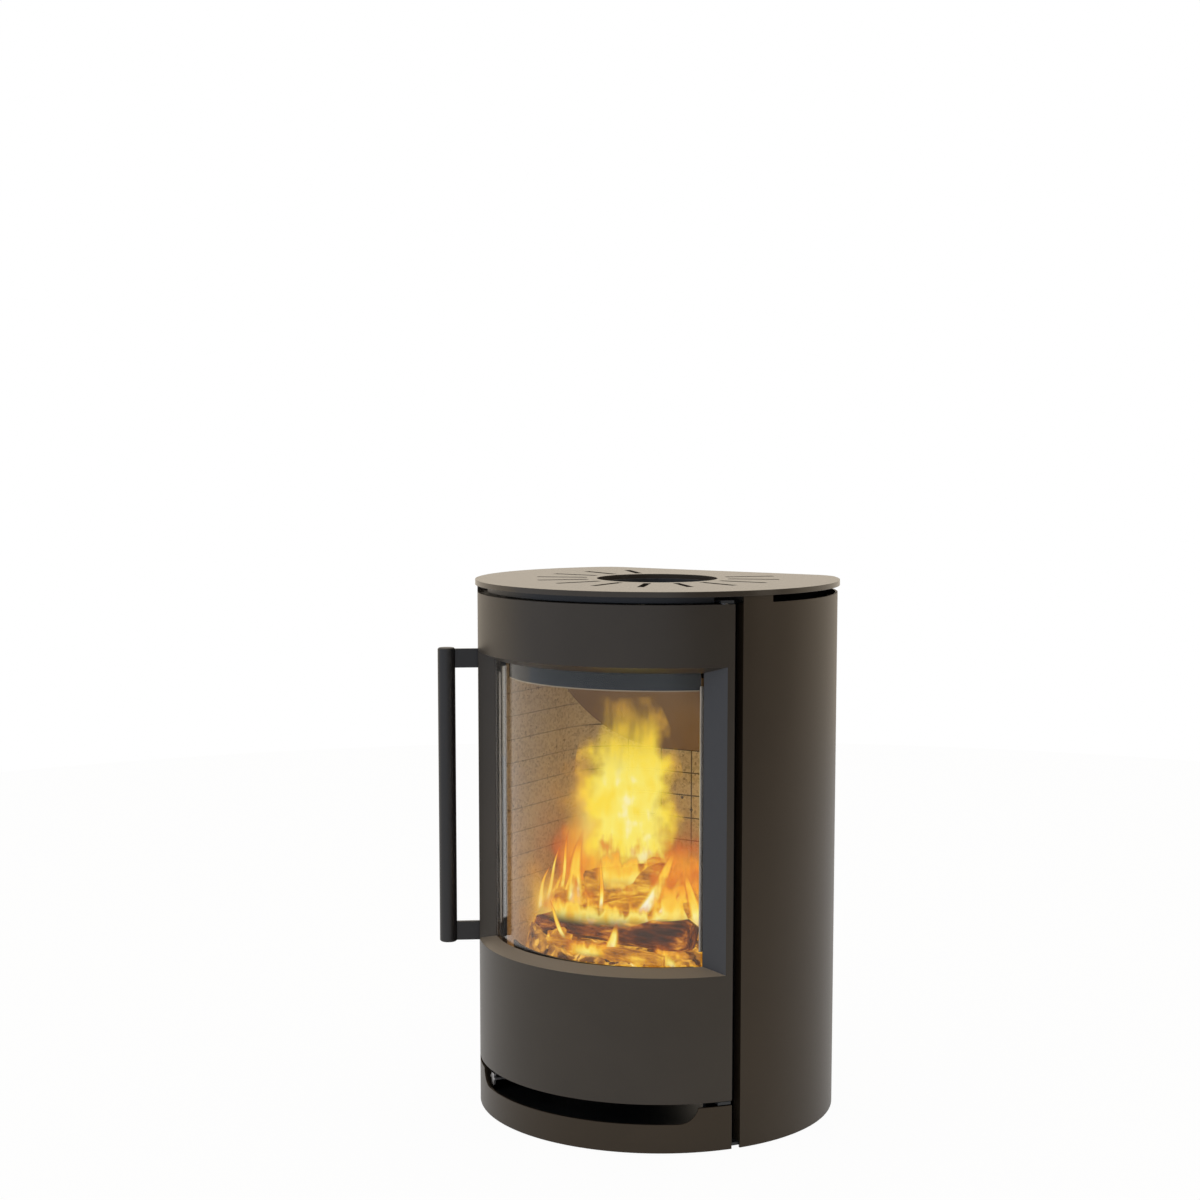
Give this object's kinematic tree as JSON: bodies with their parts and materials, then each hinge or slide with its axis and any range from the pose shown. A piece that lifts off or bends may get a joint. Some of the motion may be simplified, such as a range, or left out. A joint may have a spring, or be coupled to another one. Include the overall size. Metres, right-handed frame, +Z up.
{
  "type": "wall-mounted wood stove",
  "caption": "Round wall-hung wood stove with a slotted flat-backed top plate, curved hinged glass door with a vertical bar handle, lined firebox, ash pan and sliding air lever.",
  "frame": {"origin": "on the wall plane, at the centre of the wall bracket's four bolt holes", "axes": "+Z up, +Y into the wall, so the door faces -Y, +X to the right as seen from the front"},
  "size_m": [0.5, 0.4499, 0.73],
  "materials": {
    "casing_paint": "satin dark brown-grey stove paint",
    "plate_paint": "satin dark brown-grey stove paint",
    "door_paint": "satin dark brown-grey stove paint on castings",
    "handle_paint": "satin black",
    "inner_steel": "matte black heat-resistant paint",
    "zinc_steel": "zinc plated",
    "strip_steel": "bare steel",
    "bush_brass": "plain turned",
    "fire_board": "matte pressed vermiculite",
    "fire_glass": "clear ceramic glass",
    "seal_rope": "woven glass fibre",
    "grate_iron": "raw casting",
    "mount_steel": "matte black"
  },
  "bodies": {
    "stove_body": {"left_side_panel": "casing_paint", "right_side_panel": "casing_paint", "lower_front_panel": "casing_paint", "top_plate": "plate_paint", "base_plate": "inner_steel", "rear_panel": "inner_steel", "top_closing_strip": "inner_steel", "corner_shields": "inner_steel", "front_frame": "inner_steel", "firebox_shell": "inner_steel", "firebox_top": "inner_steel", "firebox_floor": "inner_steel", "ash_box_floor": "inner_steel", "flue_collar": "inner_steel", "air_wash_deflector": "inner_steel", "log_retainer": "inner_steel", "rear_air_duct": "inner_steel", "rear_stays": "inner_steel", "firebox_supports": "inner_steel", "ash_pan": "inner_steel", "air_box": "inner_steel", "air_inlet_spigot": "inner_steel", "lower_hinge_bracket": "inner_steel", "upper_hinge_bracket": "inner_steel", "catch_bracket": "inner_steel", "panel_screws": "zinc_steel", "hinge_pins": "zinc_steel", "roller_pins": "zinc_steel", "hanger_screws": "zinc_steel", "valve_pivot": "zinc_steel", "air_valve_seat": "zinc_steel", "back_lining": "fire_board", "right_lining": "fire_board", "left_lining": "fire_board", "hearth_board_right": "fire_board", "hearth_board_left": "fire_board", "smoke_baffle": "fire_board", "grate": "grate_iron", "wall_bracket": "mount_steel", "hanger_rail": "mount_steel", "wall_spacers": "mount_steel"},
    "door": {"door_frame": "door_paint", "door_glass": "fire_glass", "glass_seal": "seal_rope", "glass_retainers": "strip_steel", "retainer_screws": "zinc_steel", "door_rope_seal": "seal_rope", "door_heat_shield": "inner_steel", "handle_bar": "handle_paint", "handle_brackets": "handle_paint", "handle_screws": "zinc_steel", "hinge_bushes": "bush_brass", "catch_tongue": "zinc_steel"},
    "air_control": {"air_lever": "zinc_steel", "air_valve_disc": "zinc_steel"},
    "left_catch_roller": {"catch_roller_left": "zinc_steel"},
    "right_catch_roller": {"catch_roller_right": "zinc_steel"}
  },
  "joints": [
    {"name": "door_hinge", "type": "hinge", "parent": "stove_body", "child": "door", "pos_m": [0.18496, -0.34818, 0], "axis": [0, 0, 1], "range_deg": [0, 110]},
    {"name": "air_lever_turn", "type": "hinge", "parent": "stove_body", "child": "air_control", "pos_m": [0, -0.2, -0.43], "axis": [0, 0, 1], "range_deg": [0, 76]},
    {"name": "left_roller_spin", "type": "hinge", "parent": "stove_body", "child": "left_catch_roller", "pos_m": [-0.12896, -0.34525, 0.195], "axis": [0, 0, 1], "continuous": true},
    {"name": "right_roller_spin", "type": "hinge", "parent": "stove_body", "child": "right_catch_roller", "pos_m": [-0.11096, -0.34525, 0.195], "axis": [0, 0, 1], "continuous": true}
  ]
}
